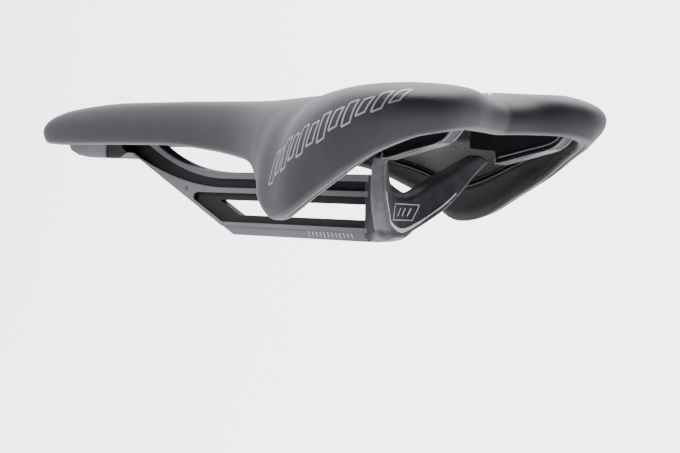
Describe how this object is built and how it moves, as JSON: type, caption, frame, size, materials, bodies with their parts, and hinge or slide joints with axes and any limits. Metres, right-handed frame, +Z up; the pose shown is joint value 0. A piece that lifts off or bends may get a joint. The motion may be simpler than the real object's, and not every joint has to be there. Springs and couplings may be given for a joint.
{
  "type": "bicycle saddle",
  "caption": "Slim road bicycle saddle with a padded cut-out top, a moulded shell and one central rail with a forked rear.",
  "frame": {"origin": "on the centre plane, half way along the clamp zone of the rail and half way up its window", "axes": "-X towards the nose, +X towards the tail, +Y towards the rider's right, +Z up"},
  "size_m": [0.2721, 0.1286, 0.0568],
  "materials": {
    "cover": "matt",
    "hem": "matt",
    "bead": "satin",
    "foam": "matt",
    "shell": "gloss",
    "thread": "matt",
    "composite": "satin",
    "socket": "satin",
    "elastomer": "matt",
    "screw": "satin",
    "gloss_black": "gloss"
  },
  "bodies": {
    "root": {"cover": "cover", "cover_hem": "hem", "hem_bead": "bead", "padding": "foam", "shell": "shell", "slot_liner": "hem", "slot_stitching": "thread", "rail_upper_beam": "composite", "rail_nose_strut": "composite", "rail_lower_beam": "composite", "rail_rear_block": "composite", "rail_arm_left": "composite", "rail_arm_right": "composite", "nose_socket": "socket", "nose_wedge": "elastomer", "nose_screw": "screw", "wing_mount_left": "gloss_black", "wing_mount_right": "gloss_black", "tail_bridge": "socket"}
  },
  "joints": []
}
